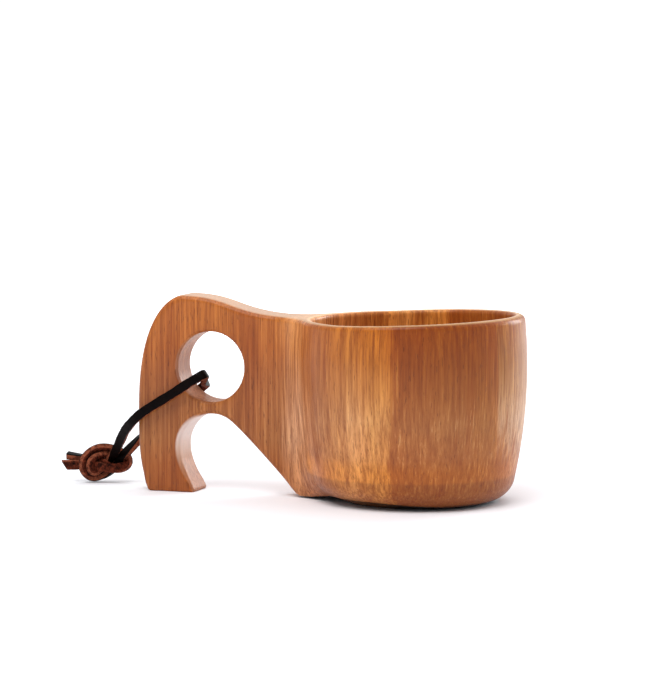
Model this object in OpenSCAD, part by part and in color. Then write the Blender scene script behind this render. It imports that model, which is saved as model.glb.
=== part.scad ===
// Kuksa: a drinking cup carved from one block of wood, with a knotted leather wrist lace.
// Millimetres. The origin is the centre of the bowl's foot on the table, +X runs from the
// handle to the bowl, +Z is up, and the wood is symmetric about the XZ plane.

/* [Bowl] */
// Largest outside radius of the bowl
bowl_r = 33.4; // [31:0.1:36]
// Height of the bowl's widest ring above the table
belly_z = 40; // [32:1:42]
// Radius of the long arc that bellies the outside wall
belly_arc_r = 155; // [120:5:300]
// Radius of the rounded edge between the outside wall and the foot
foot_round = 6; // [5:0.5:8]
// Height of the rim's low stretch, beside the handle
rim_z = 53.3; // [50:0.1:56]
// Rise of the rim from there to the far side, in degrees
rim_tilt = 2.2; // [0:0.1:3]
// Thickness of the wall at its widest ring
wall_t = 3.2; // [2.5:0.1:4.5]
// Thickness of the bowl's floor
floor_t = 8.5; // [6:0.5:12]
// Radius of the curve between the floor and the wall inside the bowl
hollow_round = 12; // [9:1:15]

/* [Handle] */
// Thickness of the handle
handle_t = 11.5; // [10:0.5:13]
// Distance from the bowl's axis to the handle's outer edge
handle_reach = 84.8; // [83:0.2:90]
// Distance from the bowl's axis to the highest point of the handle
crown_x = 70.5; // [68:0.5:74]
// Height of the highest point of the handle
crown_z = 59; // [57:0.1:62]
// Radius of the hollow curve between the handle and the bowl, seen from above
flare_r = 17; // [12:1:22]

/* [Finger hole and notch] */
// Radius of the finger hole
hole_r = 10.5; // [9.5:0.1:11]
// Distance from the bowl's axis to the centre of the finger hole
hole_x = 61.4; // [60:0.1:63]
// Height of the centre of the finger hole
hole_z = 37.8; // [37:0.1:40]
// Radius of the finger notch under the hole
notch_r = 10.2; // [9:0.1:11]
// Distance from the bowl's axis to the centre of the notch's round top
notch_x = 61.3; // [60:0.1:63]
// Height of the centre of the notch's round top
notch_z = 13.5; // [12:0.1:14]

/* [Lace] */
// Width of the leather lace
lace_w = 2.7; // [2.4:0.1:3.2]
// Radius of the knot's large end
knot_r = 6.2; // [5:0.1:6.3]
// Radius of the knot's small end, where the lace enters it
knot_neck_r = 4.6; // [4:0.1:5.4]

/* [Hidden] */
$fn = 96;
arc_steps = 16;
tube_sides = 8;
wood = "peru";
leather = "saddlebrown";
// Longer than any part of the wood, for cuts and for the slab that is trimmed to shape
reach = 200;

// Outside wall of the bowl, worked out from its long arc
belly_axis = bowl_r - belly_arc_r;
corner_r = belly_axis + sqrt(pow(belly_arc_r, 2) - pow(belly_z - foot_round, 2));
// Inside wall: the same arc, one wall thickness in
hollow_arc_r = belly_arc_r - wall_t;
hollow_z = floor_t + hollow_round;
hollow_corner_r = belly_axis + sqrt(pow(hollow_arc_r, 2) - pow(belly_z - hollow_z, 2));
// Tops of the wall arcs, well above the rim plane that trims them
wall_top_z = rim_z + 20;

// Hollow curve between the handle's side and the bowl: it touches both
flare_bowl_r = bowl_r - 1.2;
flare_y = handle_t / 2 + flare_r;
flare_x = sqrt(pow(flare_bowl_r + flare_r, 2) - pow(flare_y, 2));
flare_end = atan2(flare_y, flare_x);
// Half-width of the flare at the table, and the height where it reaches its full width
flare_foot_y = 9.5;
flare_foot_z = 9;

// Outer and inner ends of the handle's foot on the table
foot_outer_x = handle_reach - 3.3;
foot_inner_x = notch_x + notch_r / 2;
// Height at which the handle's outer edge is furthest from the bowl
edge_z = 25;
// The low end of the top edge, where the crown's long curve reaches the rim
saddle_x = 31.5;
// Where the rim's level low stretch ends and its rise begins
rim_low_x = 14;
// Where the underside meets the bowl's foot, and its slope there in degrees
heel_x = 33.4;
slope = 46;
// Angle on the notch's round top where the underside takes over
notch_end = 60;
// How far each end of each curve in the side view holds its direction
foot_pull = 7.6;
edge_pull_down = 10.8;
edge_pull_up = 32;
crown_pull_out = 1;
crown_pull_in = 16.3;
saddle_pull = 25;
heel_pull = 12;
notch_pull_out = 3.5;
notch_pull_down = 5;
notch_foot_pull = [-2.4, 5];

// The lace lies in the finger hole, and each route is a list of points down its middle
front_route = [
    [-65.5, 0, 33.5], [-64.2, -3.4, 34.6], [-62.8, -6.7, 35.6], [-62.8, -8.3, 35.6],
    [-64.5, -8.8, 34.6], [-67.4, -8.8, 32.9], [-71, -8.5, 30.6], [-75.2, -8.4, 28],
    [-79.4, -8.3, 25.5], [-83, -8.1, 23.1], [-86.2, -6.7, 20.5], [-89.7, -3.4, 17.4],
    [-92.6, 0.4, 14.2], [-94.5, 3.4, 11.1], [-95.6, 5, 9.2]
];
back_route = [
    [-65.5, 0, 33.5], [-66.8, 3.4, 32.4], [-67.4, 6.4, 31.8], [-68.6, 8.4, 30.7],
    [-72, 9.3, 28.2], [-76.5, 9.5, 24.8], [-81, 9.4, 21.2], [-85.4, 9.1, 17.4],
    [-89.6, 8.5, 13.7], [-92.8, 8.3, 10.9], [-95, 8.2, 8.8]
];
upper_route = [[-106.4, 7.6, 8.4], [-109.6, 7.4, 8.1], [-113, 7.3, 7.8]];
lower_route = [[-106.4, 5, 5.6], [-109.6, 4.6, 5.2], [-112.8, 4.3, 4.8]];
knot_at = [-103.4, 7.4, 6.4];
knot_neck_at = [-95, 7.4, 6.6];

// Points along an arc, from one angle to another
function arc(at, r, from, to, steps = arc_steps) = [
    for (i = [0:steps]) let (a = from + (to - from) * i / steps) at + r * [cos(a), sin(a)]
];

// Points along a cubic curve through two ends, steered by two handles
function curve(a, b, c, d, steps = arc_steps) = [
    for (i = [0:steps]) let (t = i / steps, s = 1 - t)
        s * s * s * a + 3 * s * s * t * b + 3 * s * t * t * c + t * t * t * d
];

function unit(v) = v / norm(v);

// Direction of a route at one of its points
function heading(route, i) =
    unit(route[min(i + 1, len(route) - 1)] - route[max(i - 1, 0)]);

// A direction that no stretch of the lace runs along, to hold its rings steady
lace_up = [-0.55, 0, 0.83];

// One ring of points around the lace
function ring(route, i) =
    let (t = heading(route, i), v = unit(cross(t, lace_up)), u = cross(v, t)) [
        for (k = [0:tube_sides - 1]) let (a = 360 * k / tube_sides)
            route[i] + lace_w / 2 * (cos(a) * u + sin(a) * v)
    ];

// A tube along a route, closed at both ends
module lace_tube(route) {
    rings = len(route);
    points = [for (i = [0:rings - 1]) each ring(route, i)];
    sides = [
        for (i = [0:rings - 2], k = [0:tube_sides - 1])
            let (a = i * tube_sides, next = (k + 1) % tube_sides)
                [a + k, a + tube_sides + k, a + tube_sides + next, a + next]
    ];
    start = [for (k = [0:tube_sides - 1]) k];
    finish = [for (k = [tube_sides - 1:-1:0]) (rings - 1) * tube_sides + k];
    color(leather) polyhedron(points, concat([start], sides, [finish]), convexity = 4);
}

// Barrel of the bowl's outside, before the rim is trimmed
module barrel() {
    rotate_extrude()
        polygon(concat(
            [[0, wall_top_z], [0, 0]],
            arc([corner_r - foot_round, foot_round], foot_round, -90, 0),
            arc([belly_axis, belly_z], belly_arc_r,
                asin((foot_round - belly_z) / belly_arc_r),
                asin((wall_top_z - belly_z) / belly_arc_r))
        ));
}

// Space inside the bowl, open at the top
module hollow() {
    rotate_extrude()
        polygon(concat(
            [[0, wall_top_z + 1], [0, floor_t]],
            arc([hollow_corner_r - hollow_round, hollow_z], hollow_round, -90, 0),
            arc([belly_axis, belly_z], hollow_arc_r,
                asin((hollow_z - belly_z) / hollow_arc_r),
                asin((wall_top_z + 1 - belly_z) / hollow_arc_r))
        ));
}

// Handle and its flare into the bowl, seen from above, one half
module flare_plan() {
    polygon(concat(
        [[0, 0], [-reach, 0], [-reach, handle_t / 2]],
        arc([-flare_x, flare_y], flare_r, -90, -flare_end),
        [[0, flare_bowl_r * sin(flare_end)]]
    ));
}

// Handle and flare as one upright slab, narrowed towards the table
module slab() {
    intersection() {
        linear_extrude(reach) {
            flare_plan();
            mirror([0, 1]) flare_plan();
        }
        rotate([90, 0, 90])
            linear_extrude(2 * reach, center = true)
                polygon([
                    [-flare_foot_y, 0], [flare_foot_y, 0],
                    [bowl_r, flare_foot_z + bowl_r - flare_foot_y], [bowl_r, reach],
                    [-bowl_r, reach], [-bowl_r, flare_foot_z + bowl_r - flare_foot_y]
                ]);
    }
}

// Side view of the whole cup: outer edge, crown, saddle, rim line, underside and notch
module side_profile() {
    foot_outer = [-foot_outer_x, 0];
    foot_inner = [-foot_inner_x, 0];
    edge = [-handle_reach, edge_z];
    crown = [-crown_x, crown_z];
    saddle = [-saddle_x, rim_z];
    heel = [-heel_x, 0];
    outer = curve(foot_outer, [-handle_reach, foot_pull], edge - [0, edge_pull_down], edge);
    back = curve(edge, edge + [0, edge_pull_up], crown - [crown_pull_out, 0], crown);
    brow = curve(crown, crown + [crown_pull_in, 0], saddle - [saddle_pull, 0], saddle);
    // Past the bowl on the far side, so that the rim line runs right across it
    far_x = 2 * bowl_r;
    rim_line = [
        [-rim_low_x, rim_z], [far_x, rim_z + (far_x + rim_low_x) * tan(rim_tilt)], [far_x, 0]
    ];
    notch_top = arc([-notch_x, notch_z], notch_r, notch_end, 180);
    underside = curve(heel, heel + heel_pull * [-cos(slope), sin(slope)],
        notch_top[0] + notch_pull_out * [sin(notch_end), -cos(notch_end)], notch_top[0]);
    notch_edge = [-notch_x - notch_r, notch_z];
    notch_side = curve(notch_edge, notch_edge - [0, notch_pull_down],
        foot_inner + notch_foot_pull, foot_inner);
    polygon(concat(outer, back, brow, rim_line, underside, notch_top, notch_side));
}

// Bowl, handle and foot, carved from one block
module cup_body() {
    color(wood)
        difference() {
            intersection() {
                union() {
                    barrel();
                    slab();
                }
                rotate([90, 0, 0])
                    linear_extrude(reach, center = true) side_profile();
            }
            hollow();
            translate([-hole_x, 0, hole_z])
                rotate([90, 0, 0]) cylinder(h = reach, r = hole_r, center = true);
        }
}

// Lace from the middle of the finger hole, round the near side, to the knot
module lace_front() {
    lace_tube(front_route);
}

// Lace from the middle of the finger hole, round the far side, to the knot
module lace_back() {
    lace_tube(back_route);
}

// Outer shape of the overhand knot that joins the two strands
module lace_knot() {
    color(leather)
        hull() {
            translate(knot_at) sphere(knot_r, $fn = 28);
            translate(knot_neck_at) sphere(knot_neck_r, $fn = 28);
        }
}

// Cut end of the near strand, beyond the knot
module lace_tail_upper() {
    lace_tube(upper_route);
}

// Cut end of the far strand, beyond the knot
module lace_tail_lower() {
    lace_tube(lower_route);
}

cup_body();
lace_front();
lace_back();
lace_knot();
lace_tail_upper();
lace_tail_lower();
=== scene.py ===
import math

import bpy
import numpy as np
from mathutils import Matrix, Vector


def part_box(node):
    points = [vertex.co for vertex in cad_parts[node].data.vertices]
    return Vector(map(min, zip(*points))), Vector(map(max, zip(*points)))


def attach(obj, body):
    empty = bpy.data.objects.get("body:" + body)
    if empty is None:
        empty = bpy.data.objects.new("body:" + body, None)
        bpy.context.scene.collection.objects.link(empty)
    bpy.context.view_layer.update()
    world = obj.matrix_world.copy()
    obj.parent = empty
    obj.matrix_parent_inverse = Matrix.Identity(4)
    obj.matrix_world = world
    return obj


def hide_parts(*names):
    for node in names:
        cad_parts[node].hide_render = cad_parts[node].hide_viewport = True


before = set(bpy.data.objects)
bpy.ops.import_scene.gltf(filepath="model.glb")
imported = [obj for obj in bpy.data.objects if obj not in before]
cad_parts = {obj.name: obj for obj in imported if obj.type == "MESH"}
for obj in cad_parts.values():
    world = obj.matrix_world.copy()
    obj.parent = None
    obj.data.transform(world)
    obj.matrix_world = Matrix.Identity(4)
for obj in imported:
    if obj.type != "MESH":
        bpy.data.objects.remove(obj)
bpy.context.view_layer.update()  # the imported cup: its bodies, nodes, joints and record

MM = 0.001

# ---------------------------------------------------------------- sizes of the wood, in millimetres
CUP_LOW, CUP_HIGH = (np.array(corner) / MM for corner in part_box("cup_body"))
HANDLE_REACH = -CUP_LOW[0]  # from the bowl's axis to the handle's back
BOWL_R = CUP_HIGH[0]
CROWN_Z = CUP_HIGH[2]  # top of the handle
BELLY_Z = 40.0  # where the bowl is widest
BELLY_ARC_R = 155.0  # radius of the curve that the bowl's side follows
BELLY_AXIS = BOWL_R - BELLY_ARC_R
WALL_T = 3.2
FLOOR_T = 8.5
HOLLOW_ROUND = 12.0
RIM_Z = 53.3  # the rim's low stretch, from the handle's root to RIM_LOW_X
RIM_LOW_X = -14.0
RIM_SLOPE = math.tan(math.radians(2.2))  # from there the rim rises towards the far side
HANDLE_T = 11.5
FLARE_R = 9.8  # hollow curve between the handle and the bowl
HOLE_X, HOLE_Z, HOLE_R = 61.4, 37.8, 10.5
NOTCH_X, NOTCH_Z, NOTCH_R = 61.3, 13.5, 10.2

# The handle's outline: each curve's ends, and how far it runs straight on from them
TOE_INSET, TOE_PULL = 3.3, 7.6  # the foot's outer corner
BACK_Z, BACK_PULL_DOWN, BACK_PULL_UP = 25.0, 10.8, 32.0  # the furthest point of the handle's back
CROWN_X, CROWN_PULL_OUT, CROWN_PULL_IN = 70.5, 1.0, 16.3
SADDLE_X, SADDLE_PULL = 31.5, 25.0  # where the handle's top runs into the rim
HEEL_X, HEEL_ANGLE, HEEL_PULL = 33.4, 46, 12.0  # where the slope under the handle meets the table
NOTCH_END_ANGLE, NOTCH_END_PULL = 60, 3.5  # where the slope leaves the notch's round top
INSTEP_PULL_IN, INSTEP_PULL_UP = 2.4, 5.0  # the foot's inner side

# How high the foot's edge stands off the table, and where along X one height gives way to the next
FOOT_FLAT_R = 19.0  # the part of the foot that rests on the table
FOOT_SLOPE_W = 4.0  # how far out from there the foot goes on rising
FOOT_RISE = 0.5  # on the side away from the handle
HANDLE_SIDE_RISE = 1.7  # under the handle's root
HEEL_RISE = 0.5  # at the heel of the slope under the handle
HANDLE_SIDE_BLEND, HEEL_BLEND = (18, -6), (-20, -32)

# Rounded and eased edges, and where one radius gives way to the next
FOOT_ROUND = 6.0  # lower edge of the bowl
HOLE_ROUND = 0.9
EDGE_ROUND = 1.7  # edges of the handle
RIM_ROUND, RIM_BLEND_X = 1.1, (-46, -26)
FAR_RIM_ROUND, FAR_RIM_BLEND_X = 2.0, (8, 30)  # the rim's outer edge on the side away from the handle
FOOT_EDGE_ROUND, FOOT_EDGE_BLEND_Z = 0.9, (6, 2)  # edges where the wood meets the table


# ---------------------------------------------------------------- outline of the wood in side view
def curve(a, b, c, d, steps=24):
    """Points along a cubic curve through a and d, steered by b and c."""
    a, b, c, d = (np.array(p, float) for p in (a, b, c, d))
    t = np.linspace(0, 1, steps + 1)[:, None]
    s = 1 - t
    return s**3 * a + 3 * s * s * t * b + 3 * s * t * t * c + t**3 * d


def arc(centre, radius, start, end, steps=32):
    """Points along an arc between two angles in degrees."""
    angles = np.radians(np.linspace(start, end, steps + 1))
    return np.array(centre) + radius * np.stack([np.cos(angles), np.sin(angles)], 1)


def side_outline():
    """The cup's closed outline from the side, as X and Z. It runs on below the table, where it is cut off."""
    below, far = -20, 2 * BOWL_R
    toe = (-(HANDLE_REACH - TOE_INSET), 0)
    back = np.array((-HANDLE_REACH, BACK_Z))
    crown = np.array((-CROWN_X, CROWN_Z))
    saddle = np.array((-SADDLE_X, RIM_Z))
    heel = np.array((-HEEL_X, 0))
    instep = np.array((-(NOTCH_X + NOTCH_R / 2), 0))
    slope, notch_end = math.radians(HEEL_ANGLE), math.radians(NOTCH_END_ANGLE)
    up_slope = HEEL_PULL * np.array((-math.cos(slope), math.sin(slope)))
    off_notch = NOTCH_END_PULL * np.array((math.sin(notch_end), -math.cos(notch_end)))
    notch = arc((-NOTCH_X, NOTCH_Z), NOTCH_R, NOTCH_END_ANGLE, 180)
    return np.concatenate([
        curve(toe, (-HANDLE_REACH, TOE_PULL), back - (0, BACK_PULL_DOWN), back),
        curve(back, back + (0, BACK_PULL_UP), crown - (CROWN_PULL_OUT, 0), crown),
        curve(crown, crown + (CROWN_PULL_IN, 0), saddle - (SADDLE_PULL, 0), saddle),
        [(RIM_LOW_X, RIM_Z), (far, RIM_Z + (far - RIM_LOW_X) * RIM_SLOPE), (far, below), (heel[0], below)],
        curve(heel, heel + up_slope, notch[0] + off_notch, notch[0]),
        notch,
        curve(notch[-1], notch[-1] - (0, INSTEP_PULL_UP), instep + (-INSTEP_PULL_IN, INSTEP_PULL_UP), instep),
        [(instep[0], below), (toe[0], below)],
    ])


# ---------------------------------------------------------------- distances, negative inside
def outline_distance(x, z, outline):
    """Signed distance from each point to a closed outline."""
    near = np.full(x.shape, np.inf)
    inside = np.zeros(x.shape, bool)
    for (ax, az), (bx, bz) in zip(outline, np.roll(outline, -1, axis=0)):
        dx, dz = bx - ax, bz - az
        span = dx * dx + dz * dz
        if span < 1e-12:
            continue
        t = np.clip(((x - ax) * dx + (z - az) * dz) / span, 0, 1)
        near = np.minimum(near, (x - ax - t * dx) ** 2 + (z - az - t * dz) ** 2)
        if dz:
            inside ^= ((az > z) != (bz > z)) & (x < ax + dx * (z - az) / dz)
    return np.where(inside, -1, 1) * np.sqrt(near)


class Field:
    """A function of X and Z, held on a fine grid and read between its points."""

    def __init__(self, function, low, high, step):
        self.low, self.step = np.array(low, float), step
        count = np.ceil((np.array(high) - low) / step).astype(int) + 1
        self.values = function(
            *np.meshgrid(*(a + step * np.arange(n) for a, n in zip(low, count)), indexing="ij")
        )

    def __call__(self, x, z):
        u, w = (x - self.low[0]) / self.step, (z - self.low[1]) / self.step
        i = np.clip(np.floor(u).astype(int), 0, self.values.shape[0] - 2)
        k = np.clip(np.floor(w).astype(int), 0, self.values.shape[1] - 2)
        u, w = u - i, w - k
        v = self.values
        low = v[i, k] * (1 - w) + v[i, k + 1] * w
        high = v[i + 1, k] * (1 - w) + v[i + 1, k + 1] * w
        return low * (1 - u) + high * u


def meet(a, b, radius):
    """Where two solids overlap, with the edge between them rounded."""
    round_part = np.hypot(np.maximum(a + radius, 0), np.maximum(b + radius, 0))
    return np.minimum(np.maximum(a, b), -radius) + round_part


def join(a, b, radius):
    """Two solids together, with the corner between them filled by a hollow curve."""
    return -meet(-a, -b, radius)


def blend_step(x, start, end):
    """Smoothly from 0 at start to 1 at end."""
    t = np.clip((x - start) / (end - start), 0, 1)
    return t * t * (3 - 2 * t)


def bowl_arc(radial, z, radius):
    """Signed distance to the barrel shape that the bowl's side follows, at one radius of its curve."""
    return np.hypot(radial - BELLY_AXIS, z - BELLY_Z) - radius


def wood_distance(x, y, z, side):
    """Signed distance to the cup: bowl and handle joined, trimmed to the side view, hollowed."""
    radial = np.hypot(x, y)
    rise = FOOT_RISE + (HANDLE_SIDE_RISE - FOOT_RISE) * blend_step(x, *HANDLE_SIDE_BLEND)
    rise = rise + (HEEL_RISE - rise) * blend_step(x, *HEEL_BLEND)
    under = rise * np.clip((radial - FOOT_FLAT_R) / FOOT_SLOPE_W, 0, 1) * (x > -NOTCH_X) - z
    barrel = meet(bowl_arc(radial, z, BELLY_ARC_R), under, FOOT_ROUND)
    slab = np.maximum(np.abs(y) - HANDLE_T / 2, x)
    body = np.maximum(join(slab, barrel, FLARE_R), under)
    edge = EDGE_ROUND + (RIM_ROUND - EDGE_ROUND) * blend_step(x, *RIM_BLEND_X)
    edge = edge + (FAR_RIM_ROUND - edge) * blend_step(x, *FAR_RIM_BLEND_X)
    edge = edge + (FOOT_EDGE_ROUND - edge) * blend_step(z, *FOOT_EDGE_BLEND_Z)
    body = meet(body, side(x, z), edge)
    hollow = meet(bowl_arc(radial, z, BELLY_ARC_R - WALL_T), FLOOR_T - z, HOLLOW_ROUND)
    body = meet(body, -hollow, RIM_ROUND)
    hole = np.hypot(x + HOLE_X, z - HOLE_Z) - HOLE_R
    return meet(body, -hole, HOLE_ROUND)


# ---------------------------------------------------------------- a clean quad mesh of a surface
def surface_quads(distance, low, high, step):
    """Quads over the zero level of a distance: one corner in each grid cell that it crosses."""
    axes = [np.arange(a, b + step, step) for a, b in zip(low, high)]
    grid = distance(*np.meshgrid(*axes, indexing="ij", sparse=True))
    cells = tuple(n - 1 for n in grid.shape)
    total, count = np.zeros(cells + (3,)), np.zeros(cells)
    crossings = []
    for d in range(3):
        first = [slice(None)] * 3
        second = [slice(None)] * 3
        first[d], second[d] = slice(0, -1), slice(1, None)
        a, b = grid[tuple(first)], grid[tuple(second)]
        at = np.argwhere((a < 0) != (b < 0))
        va, vb = a[tuple(at.T)], b[tuple(at.T)]
        place = np.array(low) + step * at
        place[:, d] += step * va / (va - vb)
        crossings.append((d, at, va < 0))
        others = [o for o in range(3) if o != d]
        for back_1 in (0, 1):
            for back_2 in (0, 1):
                cell = at.copy()
                cell[:, others[0]] -= back_1
                cell[:, others[1]] -= back_2
                good = np.all((cell >= 0) & (cell < cells), axis=1)
                index = tuple(cell[good].T)
                np.add.at(total, index, place[good])
                np.add.at(count, index, 1)
    used = count > 0
    number = np.full(cells, -1)
    number[used] = np.arange(used.sum())
    points = total[used] / count[used][:, None]
    quads = []
    for d, at, enters in crossings:
        o1, o2 = (d + 1) % 3, (d + 2) % 3
        corners = []
        for back_1, back_2 in ((0, 0), (1, 0), (1, 1), (0, 1)):
            cell = at.copy()
            cell[:, o1] -= back_1
            cell[:, o2] -= back_2
            corners.append(number[tuple(cell.T)])
        quad = np.stack(corners, 1)
        quad[~enters] = quad[~enters][:, ::-1]
        quads.append(quad)
    return points, np.concatenate(quads)


def onto_surface(points, distance, rounds=3, reach=0.02):
    """Moves points along the distance's slope until they lie on its zero level."""
    for _ in range(rounds):
        value = distance(*points.T)
        slope = np.empty_like(points)
        for d in range(3):
            shift = np.zeros(3)
            shift[d] = reach
            slope[:, d] = (distance(*(points + shift).T) - distance(*(points - shift).T)) / (2 * reach)
        points = points - (value / np.maximum((slope**2).sum(1), 0.25))[:, None] * slope
    return points


def even_out(points, quads, distance, rounds):
    """Evens the quads' sizes by moving each corner towards its neighbours, on the surface."""
    ends = np.concatenate([quads, np.roll(quads, -1, axis=1)], 0)
    starts = np.concatenate([np.roll(quads, -1, axis=1), quads], 0)
    a, b = starts.ravel(), ends.ravel()
    degree = np.bincount(a, minlength=len(points))[:, None]
    for _ in range(rounds):
        mean = np.stack([np.bincount(a, points[b, d], len(points)) for d in range(3)], 1) / degree
        points = onto_surface(points + 0.5 * (mean - points), distance, rounds=1)
    return points


def mesh_piece(name, points, faces, materials, kinds=None):
    """A smooth-shaded object from points in millimetres. kinds gives the number of each face's material."""
    mesh = bpy.data.meshes.new(name)
    mesh.from_pydata((np.asarray(points) * MM).tolist(), [], [list(map(int, f)) for f in faces])
    mesh.polygons.foreach_set("use_smooth", [True] * len(mesh.polygons))
    for material in materials:
        mesh.materials.append(material)
    if kinds is not None:
        mesh.polygons.foreach_set("material_index", kinds)
    mesh.update()
    piece = bpy.data.objects.new(name, mesh)
    bpy.context.collection.objects.link(piece)
    return piece


# ---------------------------------------------------------------- material helpers
class Nodes:
    """A material's node tree, with one short call for each kind of node."""

    def __init__(self, name):
        self.material = bpy.data.materials.new(name)
        self.material.use_nodes = True
        self.tree = self.material.node_tree
        self.shader = self.tree.nodes["Principled BSDF"]

    def add(self, kind, **settings):
        node = self.tree.nodes.new(kind)
        for key, value in settings.items():
            setattr(node, key, value)
        return node

    def link(self, source, target):
        self.tree.links.new(source, target)

    def put(self, socket, value):
        if isinstance(value, bpy.types.NodeSocket):
            self.link(value, socket)
        else:
            socket.default_value = value

    def millimetres(self, scale=(1, 1, 1), shift=(0, 0, 0)):
        """The place on the object in millimetres, stretched by scale."""
        mapping = self.add("ShaderNodeMapping")
        self.link(self.add("ShaderNodeTexCoord").outputs["Object"], mapping.inputs["Vector"])
        mapping.inputs["Scale"].default_value = [s / MM for s in scale]
        mapping.inputs["Location"].default_value = shift
        return mapping.outputs["Vector"]

    def apart(self, vector):
        """The X, Y and Z of a vector, as sockets by name."""
        node = self.add("ShaderNodeSeparateXYZ")
        self.link(vector, node.inputs[0])
        return node.outputs

    def length(self, vector):
        node = self.add("ShaderNodeVectorMath", operation="LENGTH")
        self.link(vector, node.inputs[0])
        return node.outputs["Value"]

    def noise(self, vector, detail=3, roughness=0.55):
        node = self.add("ShaderNodeTexNoise")
        self.link(vector, node.inputs["Vector"])
        node.inputs["Scale"].default_value = 1
        node.inputs["Detail"].default_value = detail
        node.inputs["Roughness"].default_value = roughness
        return node.outputs["Fac"]

    def maths(self, operation, a, b):
        node = self.add("ShaderNodeMath", operation=operation)
        self.put(node.inputs[0], a)
        self.put(node.inputs[1], b)
        return node.outputs[0]

    def product(self, first, *others):
        for other in others:
            first = self.maths("MULTIPLY", first, other)
        return first

    def shifted(self, value, noise, span):
        """A value moved by noise, half the span either way at most."""
        return self.maths("ADD", value, self.product(self.maths("SUBTRACT", noise, 0.5), span))

    def vector(self, operation, a, b):
        node = self.add("ShaderNodeVectorMath", operation=operation)
        self.put(node.inputs[0], a)
        self.put(node.inputs[1], b)
        return node.outputs[0]

    def remap(self, value, low, high, to_low=0.0, to_high=1.0):
        node = self.add("ShaderNodeMapRange", interpolation_type="SMOOTHSTEP")
        for socket, number in zip(node.inputs, (value, low, high, to_low, to_high)):
            self.put(socket, number)
        return node.outputs[0]

    def ramp(self, value, stops):
        node = self.add("ShaderNodeValToRGB")
        elements = node.color_ramp.elements
        while len(elements) < len(stops):
            elements.new(0.5)
        for element, (place, colour) in zip(elements, stops):
            element.position = place
            element.color = (*colour, 1)
        self.put(node.inputs["Fac"], value)
        return node.outputs["Color"]

    def mix(self, factor, a, b, blend="MIX"):
        node = self.add("ShaderNodeMix", data_type="RGBA", blend_type=blend)
        self.put(node.inputs["Factor"], factor)
        self.put(node.inputs["A"], a)
        self.put(node.inputs["B"], b)
        return node.outputs["Result"]

    def bump(self, height, depth_mm, strength):
        node = self.add("ShaderNodeBump")
        self.put(node.inputs["Height"], height)
        node.inputs["Distance"].default_value = depth_mm * MM
        node.inputs["Strength"].default_value = strength
        return node.outputs["Normal"]

    def finish(self, **sockets):
        for name, value in sockets.items():
            self.put(self.shader.inputs[name.replace("_", " ")], value)
        return self.material


def shade(red, green, blue):
    """A colour given as it looks on screen, from 0 to 255, as the linear values nodes use."""
    return tuple((c / 255 / 12.92) if c < 11 else ((c / 255 + 0.055) / 1.055) ** 2.4
                 for c in (red, green, blue))


def paint(red, green, blue):
    """The same as a colour socket takes it, with full opacity."""
    return (*shade(red, green, blue), 1)


# ---------------------------------------------------------------- materials
TINT_HEIGHT = 60.0  # the tints' places are shares of this height
# Painted light and shade by height, multiplied into the wood: the paler, greyer middle stands in for the
# bright floor's reflection, and the wood grows darker and more saturated towards the top and the foot.
BOWL_TINTS = [
    (0.03, (0.6, 0.53, 0.4)), (0.15, (0.72, 0.69, 0.53)), (0.28, (0.85, 0.91, 0.94)),
    (0.43, (0.83, 0.98, 1.12)), (0.58, (0.69, 0.68, 0.55)), (0.73, (0.57, 0.45, 0.19)),
    (0.87, (0.56, 0.4, 0.13)),
]
HANDLE_TINTS = [
    (0.05, (0.55, 0.46, 0.36)), (0.15, (0.57, 0.5, 0.42)), (0.28, (0.62, 0.67, 0.73)),
    (0.43, (0.61, 0.62, 0.66)), (0.58, (0.58, 0.54, 0.53)), (0.73, (0.65, 0.56, 0.4)),
    (0.87, (0.71, 0.65, 0.48)),
]
INSIDE_TINT = (0.9, 0.86, 0.58, 1)
TINT_GAIN = (1.42, 1.44, 1.46)
# The wood's colour bands, by X from the handle's back to the bowl's far side. These stops and the tints
# above were adjusted until each area's average colour came near the real cup's.
BANDS_FROM, BANDS_TO = -90.0, 40.0
# The last stop, at the bowl's far end, is paled as painted rim light from behind and to the right.
WOOD_BANDS = [
    (-84, (184, 114, 60)), (-74, (180, 106, 54)), (-66, (190, 114, 55)), (-58, (186, 112, 54)),
    (-50, (170, 96, 47)), (-40, (190, 118, 62)), (-34, (240, 174, 126)), (-28, (208, 136, 88)),
    (-22, (174, 104, 58)), (-16, (194, 124, 68)), (-10, (215, 147, 90)), (-6, (198, 128, 72)),
    (-2, (202, 133, 70)), (1, (208, 136, 72)), (4, (186, 114, 55)), (5, (160, 88, 40)),
    (9, (156, 88, 42)), (24, (156, 92, 46)), (27, (156, 90, 41)), (29, (157, 92, 42)),
    (31, (166, 95, 43)), (33, (198, 146, 104)),
]


def wood_bands(n, place, wander):
    """The board's broad colour bands, side by side along X, with ragged edges."""
    ragged = n.noise(n.millimetres((0.5, 0.5, 0.03)), detail=3, roughness=0.6)
    x = n.shifted(n.shifted(place["X"], wander, 14), ragged, 7)
    span = BANDS_TO - BANDS_FROM
    share = n.maths("DIVIDE", n.maths("SUBTRACT", x, BANDS_FROM), span)
    return n.ramp(share, [((at - BANDS_FROM) / span, shade(*colour)) for at, colour in WOOD_BANDS])


def wood_streaks(n, colour):
    """Darker streaks and flames, some millimetres wide and much longer than that."""
    streak = n.noise(n.millimetres((0.5, 0.5, 0.018)), detail=5, roughness=0.6)
    colour = n.mix(n.remap(streak, 0.35, 0.7), colour, n.mix(0.45, colour, paint(132, 66, 30)))
    flame = n.noise(n.millimetres((0.3, 0.3, 0.02), (7, 3, 0)), detail=4, roughness=0.6)
    return n.mix(n.remap(flame, 0.52, 0.66, 0, 0.4), colour, paint(138, 66, 26))


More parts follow.
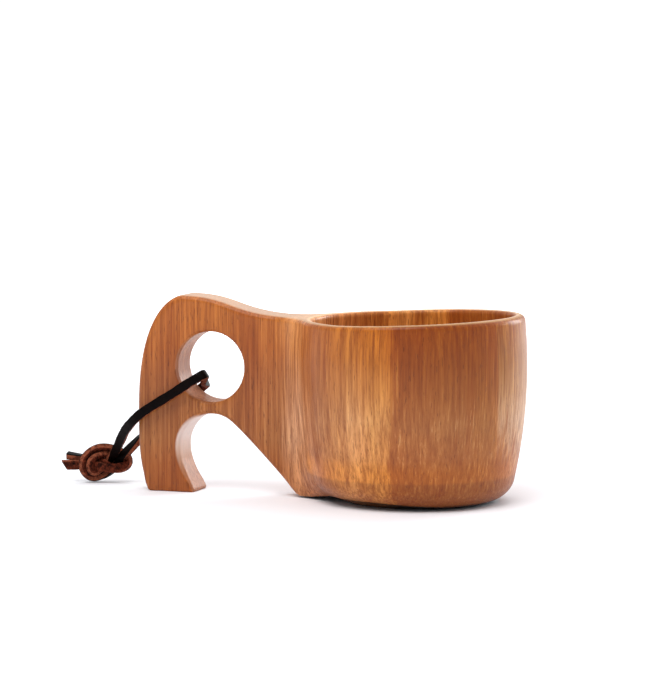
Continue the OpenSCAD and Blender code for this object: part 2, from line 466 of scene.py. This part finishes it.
def painted_light_and_shade(n, colour, place):
    """Painted shade darkens the wood under the foot; painted light makes it paler inside the notch, and a
    painted sheen paler on top of the handle and rim.
    """
    facing = n.apart(n.add("ShaderNodeNewGeometry").outputs["Normal"])
    # painted shade: downward-facing wood within about 3 mm of the table is darkened to stand in for the
    # shadow under the foot
    under = n.product(n.remap(facing["Z"], -0.97, -0.88, 1, 0), n.remap(place["Z"], 2.4, 3.2, 1, 0))
    colour = n.mix(under, colour, paint(26, 12, 6))
    # painted light: the notch's wall facing the bowl is paled to stand in for the light that falls on it
    notch = n.product(
        n.remap(facing["X"], 0.2, 0.6), n.remap(place["X"], -54, -58),
        n.remap(place["Z"], 4, 18, 0.2, 1), n.remap(place["Z"], 26, 24, 0.2, 1), 0.75,
    )
    colour = n.mix(notch, colour, paint(255, 232, 216))
    # painted sheen: up-facing wood near the top is paled to stand in for the white room's reflection
    painted_top_sheen = n.product(n.remap(facing["Z"], 0.7, 0.97), n.remap(place["Z"], 45, 50), 0.5)
    return n.mix(painted_top_sheen, colour, paint(214, 198, 196))


def painted_sheen_by_height(n, place, wander):
    """Tints the wood by height with painted light and shade: paler, greyer wood in the middle for a painted
    reflection of the bright floor, darker and more saturated towards the top and the foot.
    """
    height = n.maths("DIVIDE", n.shifted(place["Z"], wander, 10), TINT_HEIGHT)
    outside = n.mix(n.remap(place["X"], -52, 6), n.ramp(height, HANDLE_TINTS), n.ramp(height, BOWL_TINTS))
    radius = n.length(n.vector("MULTIPLY", n.millimetres(), (1, 1, 0)))
    inside = n.product(n.remap(radius, 31.6, 30.6), n.remap(place["Z"], 8, 9))
    return n.mix(inside, outside, INSIDE_TINT)


def wood_material():
    """Oiled hardwood with upright grain: broad colour bands, streaks, fibres and pores, with painted shade,
    light and reflections laid over them.
    """
    n = Nodes("oiled_wood")
    place = n.apart(n.millimetres())
    wander = n.noise(n.millimetres((0.03, 0.03, 0.012)), detail=2)
    colour = wood_streaks(n, wood_bands(n, place, wander))
    fibre = n.noise(n.millimetres((1.5, 1.5, 0.03)), detail=5, roughness=0.7)
    colour = n.mix(n.remap(fibre, 0.42, 0.66, 0, 0.6), colour, paint(116, 54, 24))
    colour = n.mix(n.remap(fibre, 0.46, 0.28, 0, 0.25), colour, paint(236, 172, 108))
    pores = n.remap(n.noise(n.millimetres((3.2, 3.2, 0.32)), detail=2, roughness=0.5), 0.62, 0.72)
    colour = n.mix(n.product(pores, 0.55), colour, paint(84, 40, 20))
    colour = painted_light_and_shade(n, colour, place)
    colour = n.vector("MULTIPLY", n.mix(1, colour, painted_sheen_by_height(n, place, wander), "MULTIPLY"), TINT_GAIN)
    height = n.maths("SUBTRACT", n.product(fibre, 0.4), pores)
    return n.finish(Base_Color=colour, Roughness=n.remap(fibre, 0.3, 0.7, 0.38, 0.52),
                    Normal=n.bump(height, 0.06, 0.7), Specular_IOR_Level=0.1, Coat_Weight=0.3,
                    Coat_Roughness=0.26)


def leather_material(name, colours, roughness, pit_mm, depth_mm, shine):
    """Leather: two tones mottled together, with a fine pitted surface."""
    n = Nodes(name)
    mottle = n.noise(n.millimetres((0.8, 0.8, 0.8)), detail=4)
    grain = n.noise(n.millimetres((1 / pit_mm,) * 3), detail=3, roughness=0.6)
    tone = n.maths("ADD", n.product(mottle, 0.6), n.product(grain, 0.4))
    colour = n.ramp(n.remap(tone, 0.35, 0.65), [(0, shade(*colours[0])), (1, shade(*colours[1]))])
    return n.finish(Base_Color=colour, Roughness=n.remap(grain, 0.3, 0.7, roughness, roughness + 0.15),
                    Normal=n.bump(grain, depth_mm, 0.8), Specular_IOR_Level=shine)


def floor_material():
    """White paper that glows more and more with distance, so that it ends in the white room."""
    n = Nodes("pale_floor")
    tone = n.noise(n.millimetres((0.004, 0.004, 0.004)), detail=1)
    glow = n.remap(n.length(n.millimetres()), 200, 900, 0, 1.1)
    return n.finish(Base_Color=n.ramp(tone, [(0, (0.89, 0.9, 0.94)), (1, (0.91, 0.92, 0.96))]), Roughness=0.7,
                    Emission_Color=(1, 1, 1, 1), Emission_Strength=glow)


# ---------------------------------------------------------------- camera
CAMERA_TURN, CAMERA_RISE = 19.03, 5.31  # degrees: round to the bowl's far end, and up
CAMERA_TARGET = Vector((-27.32, 0, 46.38))  # millimetres, as is the next
CAMERA_AWAY = 1072
CAMERA_LENS, CAMERA_SENSOR = 192.4, 36


def make_camera():
    """A long lens a little above the cup, turned towards the bowl's far end."""
    turn, rise = math.radians(CAMERA_TURN), math.radians(CAMERA_RISE)
    target, away = CAMERA_TARGET * MM, CAMERA_AWAY * MM
    back = Vector((math.sin(turn) * math.cos(rise), -math.cos(turn) * math.cos(rise), math.sin(rise)))
    data = bpy.data.cameras.new("camera")
    data.lens, data.sensor_width = CAMERA_LENS, CAMERA_SENSOR
    data.clip_start, data.clip_end = 0.05, 50
    camera = bpy.data.objects.new("camera", data)
    camera.location = target + back * away
    camera.rotation_euler = (-back).to_track_quat("-Z", "Y").to_euler()
    bpy.context.collection.objects.link(camera)
    bpy.context.scene.camera = camera


# ---------------------------------------------------------------- the lace, in millimetres
LACE_WIDTH, LACE_THICKNESS, LACE_CORNER = 2.7, 1.95, 0.35
STRAND_GAP = 2.2  # least distance between the middles of two strands in the knot
STRAND_OFFSET = 1.2  # from the middle of the pair to the middle of a strand, before the knot is tightened
LACE_FLOOR = 1.05  # lowest height of a strand's middle
NODE_STEP = 0.7  # spacing of the points that the knot is tightened with
RING_STEP = 0.35  # spacing of the lace's rings
CUT_REACH = 3.0  # how far back from a tail's end the slant of its cut reaches
GRAIN_SIDE, CUT_EDGE, FLESH_SIDE = range(3)  # the numbers of the lace's materials
# Each strand's middle line from the finger hole towards the knot, in metres
FRONT_ROUTE = [
    (-0.0655, 0, 0.0335), (-0.0642, -0.0034, 0.0346), (-0.0628, -0.0067, 0.0356),
    (-0.0628, -0.0083, 0.0356), (-0.0645, -0.0088, 0.0346), (-0.0674, -0.0088, 0.0329),
    (-0.071, -0.0085, 0.0306), (-0.0752, -0.0084, 0.028), (-0.0794, -0.0083, 0.0255),
    (-0.083, -0.0081, 0.0231), (-0.0862, -0.0067, 0.0205), (-0.0897, -0.0034, 0.0174),
    (-0.0926, 0.0004, 0.0142), (-0.0945, 0.0034, 0.0111), (-0.0956, 0.005, 0.0092),
]
BACK_ROUTE = [
    (-0.0655, 0, 0.0335), (-0.0668, 0.0034, 0.0324), (-0.0674, 0.0064, 0.0318),
    (-0.0686, 0.0084, 0.0307), (-0.072, 0.0093, 0.0282), (-0.0765, 0.0095, 0.0248),
    (-0.081, 0.0094, 0.0212), (-0.0854, 0.0091, 0.0174), (-0.0896, 0.0085, 0.0137),
    (-0.0928, 0.0083, 0.0109), (-0.095, 0.0082, 0.0088),
]
TAIL_SLANTS = (-0.3, 0.6)  # how far each tail's cut leans, as a share of the lace's width
FRONT_LENGTH, BACK_LENGTH = 0.06, 0.048  # from the finger hole to the knot, in metres
FRONT_HELD, BACK_HELD = 13, 9  # how many points of each route the knot leaves where they are
UPPER_TAIL_END, LOWER_TAIL_END = (-113, 7.3, 7.8), (-112.8, 4.3, 5.2)
# The knot's own directions: along the lace, up, and towards the near side
KNOT_MIDDLE = np.array((-102.2, 7.6, 5.8))
KNOT_TURN = math.radians(19)
KNOT_AXES = np.array([
    (math.cos(KNOT_TURN), math.sin(KNOT_TURN), 0), (0, 0, 1), (math.sin(KNOT_TURN), -math.cos(KNOT_TURN), 0),
])
# One overhand knot tied in both strands at once: the middle of the pair, and the pair's turn in degrees
KNOT_GUIDE = [
    ((5.9, 3.4, 2.6), 0), ((3.8, 0.4, -0.6), 0), ((1.9, -2.6, -1.2), 0),
    ((-0.9, -4.3, -0.2), 0), ((-3.7, -3, 1.2), 0), ((-4.9, 0, 2), 0), ((-3.7, 2.6, 1.6), 0),
    ((-0.8, 3.3, 0.2), 0), ((2.6, 3.1, -1.2), -10), ((6, 2.7, -1.8), -20), ((8.8, 0.8, -1), -45),
    ((8.2, -1.7, 0.8), -75), ((4.7, -1.3, 1.9), -90), ((1.5, -0.6, 1.4), -80), ((-1.7, 0, -0.4), -40),
    ((-4.9, 0.3, -1.4), -10), ((-8.2, 0.6, -1), 0),
]
# Which way the grain side looks, along, up and near, from each numbered point of a strand on
FRONT_GRAIN = [
    (0, (1, -0.15, 0)), (1, (0.95, 0.2, 0.1)), (2, (0.73, 0.68, 0.1)), (3, (0.5, 0.55, 0.6)),
    (4, (0.1, 0.3, 0.95)), (10, (0, 0.2, 1)), (12, (-0.1, 0.2, 1)), (13, (0.1, 0.1, 1)),
]
BACK_GRAIN = [
    (0, (1, -0.15, 0)), (1, (1, 0, 0)), (2, (0.9, 0.2, -0.4)), (3, (0.4, 0.4, -0.8)),
    (4, (0.1, 0.2, -1)), (6, (0.1, 0.2, -1)), (7, (-0.3, 0.6, -0.8)), (8, (-0.6, 0.7, 0.3)),
    (9, (-0.4, 0.5, 0.8)),
]
KNOT_GRAIN = [
    (1, (0.6, -0.1, 0.8)), (2, (0.6, -0.7, 0.25)), (3, (0.1, -0.9, 0.1)), (4, (-0.55, -0.6, -0.5)),
    (5, (-0.75, 0, -0.65)), (6, (-0.55, 0.5, -0.65)), (7, (0, 0.75, -0.65)), (8, (0, 0.8, -0.6)),
    (9, (0.4, 0.8, -0.4)), (10, (0.8, 0.2, -0.6)), (11, (0.4, -0.4, -0.9)), (12, (0, -0.2, -1)),
    (13, (0, 0, -1)),
]
UPPER_TAIL_GRAIN = [(14, (0, 0.7, -0.7)), (15, (0, 1, 0)), (16, (0, 1, 0.15)), (17, (0, 1, 0.2))]
LOWER_TAIL_GRAIN = [(14, (0, 0, -1)), (17, (0, 0.3, -1))]
KNOT_ENTRY = 1  # the knot piece takes over from the cords at this point of the guide


def through(points, steps=10):
    """A smooth curve through points, and the number of the point that each place on it follows."""
    p = np.concatenate([2 * points[:1] - points[1:2], points, 2 * points[-1:] - points[-2:-1]])
    t = np.linspace(0, 1, steps, endpoint=False)[:, None]
    pieces = [
        0.5 * (2 * b + (c - a) * t + (2 * a - 5 * b + 4 * c - d) * t**2 + (3 * b - a - 3 * c + d) * t**3)
        for a, b, c, d in zip(p, p[1:], p[2:], p[3:])
    ]
    count = len(points)
    return np.concatenate(pieces + [points[-1:]]), np.linspace(0, count - 1, (count - 1) * steps + 1)


def spaced(points, numbers, step):
    """The same line with its points an even step apart."""
    along = np.concatenate([[0], np.cumsum(np.linalg.norm(np.diff(points, axis=0), axis=1))])
    places = np.linspace(0, along[-1], int(round(along[-1] / step)) + 1)
    return np.stack([np.interp(places, along, c) for c in points.T], 1), np.interp(places, along, numbers)


def loose_strand(route, held, side, tail_end):
    """One strand before the knot is tightened: its held route, one side of the knot's guide, its tail."""
    guide = np.array([point for point, _ in KNOT_GUIDE], float)
    turned = np.radians([angle for _, angle in KNOT_GUIDE])[:, None]
    heading = np.gradient(guide, axis=0)
    across = np.stack([heading[:, 1], -heading[:, 0], np.zeros(len(guide))], 1)
    across /= np.linalg.norm(across, axis=1)[:, None]
    across = across * np.cos(turned) + np.array((0, 0, 1)) * np.sin(turned)
    guide = KNOT_MIDDLE + (guide + side * across) @ KNOT_AXES
    controls = np.concatenate([np.array(route[:held]) / MM, guide, [tail_end]])
    return spaced(*through(controls), NODE_STEP)


def tightened(strands, held, rounds=400):
    """Lets strands push each other apart and straighten, at their own length, with both ends held."""
    along = 1.4 * STRAND_GAP / NODE_STEP  # points of one strand nearer than this in its list don't push
    watched = STRAND_GAP + 1.2  # pairs closer than this are kept in mind until the next search
    search_every, pull_rounds = 5, 4
    push_share, bend_share, pull_share = 1.2, 0.25, 0.5  # how much of each correction is made at once
    points = np.concatenate([p for p, _ in strands])
    numbers = np.concatenate([n for _, n in strands])
    strand = np.repeat(range(len(strands)), [len(p) for p, _ in strands])
    total = len(points)
    free = numbers > np.array(held)[strand] - 1
    last = np.cumsum([len(p) for p, _ in strands]) - 1
    free[np.concatenate([last, last - 1])] = False
    loose = free.astype(float)[:, None]
    one, two = np.triu_indices(total, 1)
    apart = (strand[one] != strand[two]) | (two - one > along)
    keep = apart & (free[one] | free[two])
    one, two = one[keep], two[keep]
    first = np.flatnonzero(strand[:-1] == strand[1:])
    second = first + 1
    share = np.maximum(loose[first] + loose[second], 1)
    length = np.linalg.norm(points[second] - points[first], axis=1)[:, None]
    inner = np.flatnonzero(strand[:-2] == strand[2:]) + 1

    def gather(index, values):
        return np.stack([np.bincount(index, values[:, d], total) for d in range(3)], 1)

    for turn in range(rounds):
        if turn % search_every == 0:
            close = np.linalg.norm(points[two] - points[one], axis=1) < watched
            a, b = one[close], two[close]
        line = points[b] - points[a]
        gap = np.linalg.norm(line, axis=1)
        hit = gap < STRAND_GAP
        push = line[hit] / gap[hit][:, None] * (STRAND_GAP - gap[hit])[:, None] / 2
        count = np.bincount(a[hit], minlength=total) + np.bincount(b[hit], minlength=total)
        move = gather(b[hit], push) - gather(a[hit], push)
        points = points + push_share * loose * move / np.maximum(count, 1)[:, None]
        bend = np.zeros_like(points)
        bend[inner] = (points[inner - 1] + points[inner + 1]) / 2 - points[inner]
        points = points + bend_share * loose * bend
        points[:, 2] = np.maximum(points[:, 2], LACE_FLOOR)
        for _ in range(pull_rounds):
            line = points[second] - points[first]
            gap = np.linalg.norm(line, axis=1)[:, None]
            pull = line / gap * (gap - length) / share
            move = gather(first, pull * loose[first]) - gather(second, pull * loose[second])
            points = points + pull_share * move
    return [points[strand == k] for k in range(len(strands))]


def evened(values, rounds):
    """Values with each one drawn towards its neighbours."""
    for _ in range(rounds):
        values = np.concatenate([values[:1], (values[:-2] + 2 * values[1:-1] + values[2:]) / 4, values[-1:]])
    return values


def grain_directions(points, numbers, facings):
    """A unit direction square to the strand for each of its points, from a list by point number."""
    at = [number for number, _ in facings]
    look = np.array([direction for _, direction in facings], float)
    look = np.stack([np.interp(numbers, at, c) for c in look.T], 1) @ KNOT_AXES
    heading = np.gradient(points, axis=0)
    heading /= np.linalg.norm(heading, axis=1)[:, None]
    for _ in range(2):
        look -= (look * heading).sum(1)[:, None] * heading
        look /= np.linalg.norm(look, axis=1)[:, None]
        look = evened(look, 8)
    look -= (look * heading).sum(1)[:, None] * heading
    return look / np.linalg.norm(look, axis=1)[:, None], heading


def lace_profile():
    """The lace's cross-section: a flat strip with rounded corners, as across and through."""
    half_w, half_t = LACE_WIDTH / 2 - LACE_CORNER, LACE_THICKNESS / 2 - LACE_CORNER
    return np.concatenate([
        arc((across * half_w, through_it * half_t), LACE_CORNER, 90 * k, 90 * (k + 1), steps=4)
        for k, (across, through_it) in enumerate(((1, 1), (-1, 1), (-1, -1), (1, -1)))
    ])


def lace_mesh(points, look, heading, phase, slant=0.0):
    """Rings of the lace's section along a strand, closed at both ends. slant cuts the last end askew."""
    profile = lace_profile()
    side = np.cross(look, heading)
    along = np.arange(len(points)) * RING_STEP
    swell = 1 + 0.03 * np.sin(0.8 * along + phase) + 0.02 * np.sin(2.1 * along + 2 * phase)
    across = profile[:, 0][None] * swell[:, None]
    depth = profile[:, 1][None] * (2 - swell)[:, None]
    rings = points[:, None] + across[..., None] * side[:, None] + depth[..., None] * look[:, None]
    from_end = (along[-1] - along)[:, None, None]
    rings = rings + slant * across[..., None] * np.clip(1 - from_end / CUT_REACH, 0, 1) * heading[:, None]
    flat = LACE_THICKNESS - 2 * LACE_CORNER
    n = len(profile)
    faces = [list(range(n))[::-1]]
    kinds = [CUT_EDGE]
    for i in range(len(points) - 1):
        for k in range(n):
            j = (k + 1) % n
            faces.append([i * n + k, i * n + j, (i + 1) * n + j, (i + 1) * n + k])
            level = profile[k, 1] + profile[j, 1]
            kinds.append(GRAIN_SIDE if level > flat else FLESH_SIDE if level < -flat else CUT_EDGE)
    faces.append([(len(points) - 1) * n + k for k in range(n)])
    kinds.append(CUT_EDGE)
    return rings.reshape(-1, 3), faces, kinds


def make_strands():
    """Both strands of the lace, as rings: where they are, which way they face, and their point numbers."""
    held = (FRONT_HELD, BACK_HELD)
    starts = [
        loose_strand(FRONT_ROUTE, FRONT_HELD, STRAND_OFFSET, UPPER_TAIL_END),
        loose_strand(BACK_ROUTE, BACK_HELD, -STRAND_OFFSET, LOWER_TAIL_END),
    ]
    tight = tightened(starts, held)
    facings = [
        FRONT_GRAIN + [(n + FRONT_HELD, look) for n, look in KNOT_GRAIN + UPPER_TAIL_GRAIN],
        BACK_GRAIN + [(n + BACK_HELD, look) for n, look in KNOT_GRAIN + LOWER_TAIL_GRAIN],
    ]
    strands = []
    for (_, numbers), points, facing in zip(starts, tight, facings):
        points, numbers = spaced(evened(points, 3), numbers, RING_STEP)
        points = evened(points, 6)
        strands.append((points, numbers, *grain_directions(points, numbers, facing)))
    return strands


# ---------------------------------------------------------------- pieces
def lace_piece(name, parts, materials, *nodes):
    """One piece of the lace, from the meshes of its strands."""
    points, faces, kinds = [], [], []
    for part_points, part_faces, part_kinds in parts:
        first = sum(len(p) for p in points)
        points.append(part_points)
        faces.extend([[first + i for i in face] for face in part_faces])
        kinds.extend(part_kinds)
    piece = mesh_piece(name, np.concatenate(points), faces, materials, kinds)
    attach(piece, "lanyard")
    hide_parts(*nodes)
    return piece


def make_lace():
    """The thong: a near and a far strand from the finger hole, and the knot with its two tails."""
    materials = [
        leather_material("waxed_grain", ((3, 1, 1), (12, 4, 3)),
                         roughness=0.36, pit_mm=0.3, depth_mm=0.05, shine=0.05),
        leather_material("cut_edge", ((62, 24, 14), (150, 82, 56)),
                         roughness=0.7, pit_mm=0.25, depth_mm=0.2, shine=0.1),
        leather_material("brown_flesh", ((16, 4, 3), (108, 48, 31)),
                         roughness=0.8, pit_mm=0.3, depth_mm=0.2, shine=0.06),
    ]
    strands = make_strands()
    knot_parts, lines = [], []
    for (points, numbers, look, heading), held, slant in zip(strands, (FRONT_HELD, BACK_HELD), TAIL_SLANTS):
        entry = int(np.searchsorted(numbers, held + KNOT_ENTRY))
        lines.append((points[: entry + 1], look[: entry + 1], heading[: entry + 1]))
        knot_parts.append(lace_mesh(points[entry:], look[entry:], heading[entry:], held, slant))
    knot = lace_piece("lace_knot_and_tails", knot_parts, materials,
                      "lace_knot", "lace_tail_upper", "lace_tail_lower")
    for name, line, node, length, exit_point in (
        ("lace_near_strand", lines[0], "lace_front", FRONT_LENGTH, FRONT_ROUTE[0]),
        ("lace_far_strand", lines[1], "lace_back", BACK_LENGTH, BACK_ROUTE[0]),
    ):
        piece = lace_piece(name, [lace_mesh(*line, phase=1)], materials, node)


def make_cup():
    """The whole cup, carved from one block."""
    step = 0.64  # size of the quads
    margin, field_step = 3.0, 0.25
    outline = side_outline()
    low, high = CUP_LOW - margin, CUP_HIGH + margin
    side = Field(lambda x, z: outline_distance(x, z, outline), low[[0, 2]], high[[0, 2]], field_step)

    def distance(x, y, z):
        return wood_distance(x, y, z, side)

    points, quads = surface_quads(distance, low, high, step)
    points = onto_surface(points, distance)
    points = even_out(points, quads, distance, rounds=4)
    points = onto_surface(points, distance)
    cup = mesh_piece("carved_cup", points, quads, [wood_material()])
    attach(cup, "cup")
    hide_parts("cup_body")


def make_floor():
    """A plain sheet, 6 m across, with the cup in the middle."""
    half = 3.0
    corners = [(-half, -half, 0), (half, -half, 0), (half, half, 0), (-half, half, 0)]
    mesh = bpy.data.meshes.new("floor")
    mesh.from_pydata(corners, [], [(0, 1, 2, 3)])
    mesh.materials.append(floor_material())
    floor = bpy.data.objects.new("floor", mesh)
    bpy.context.collection.objects.link(floor)


def make_light(name, place, size, power):
    """A round white lamp aimed at the cup."""
    data = bpy.data.lights.new(name, "AREA")
    data.shape, data.size, data.energy = "DISK", size, power
    light = bpy.data.objects.new(name, data)
    light.location = place
    aim = Vector((-0.02, 0, 0.03)) - Vector(place)
    light.rotation_euler = aim.to_track_quat("-Z", "Y").to_euler()
    bpy.context.collection.objects.link(light)


def room_light(tree):
    """The light of a white room, dimmer in front of the cup than above and behind it."""
    front, back = 0.34, 0.85
    sky = tree.nodes.new("ShaderNodeTexCoord")
    ahead = tree.nodes.new("ShaderNodeVectorMath")
    ahead.operation = "DOT_PRODUCT"
    ahead.inputs[1].default_value = (0.1, 0.75, 0.65)
    tree.links.new(sky.outputs["Generated"], ahead.inputs[0])
    fade = tree.nodes.new("ShaderNodeMapRange")
    fade.interpolation_type = "SMOOTHSTEP"
    for socket, number in zip(fade.inputs[1:5], (-0.6, 0.7, front, back)):
        socket.default_value = number
    tree.links.new(ahead.outputs["Value"], fade.inputs[0])
    room = tree.nodes["Background"]
    room.inputs["Color"].default_value = (1, 1, 1, 1)
    tree.links.new(fade.outputs[0], room.inputs["Strength"])
    return room.outputs[0]


def make_studio():
    """A white room that the camera sees as plain white, with three soft lamps."""
    world = bpy.data.worlds.new("studio")
    bpy.context.scene.world = world
    world.use_nodes = True
    tree = world.node_tree
    backdrop = tree.nodes.new("ShaderNodeBackground")
    backdrop.inputs["Color"].default_value = (1, 1, 1, 1)
    backdrop.inputs["Strength"].default_value = 1.05
    seen = tree.nodes.new("ShaderNodeLightPath")
    both = tree.nodes.new("ShaderNodeMixShader")
    tree.links.new(seen.outputs["Is Camera Ray"], both.inputs["Fac"])
    tree.links.new(room_light(tree), both.inputs[1])
    tree.links.new(backdrop.outputs[0], both.inputs[2])
    tree.links.new(both.outputs[0], tree.nodes["World Output"].inputs["Surface"])
    make_light("right_window", (0.5, 0.9, 0.35), 0.5, 5.0)
    make_light("top_back", (-0.05, 0.5, 0.7), 0.8, 1.8)
    make_light("top_front", (-0.15, -0.6, 1.0), 1.0, 10.0)
    bpy.context.scene.view_settings.view_transform = "Standard"


make_camera()
make_lace()
make_cup()
make_floor()
make_studio()
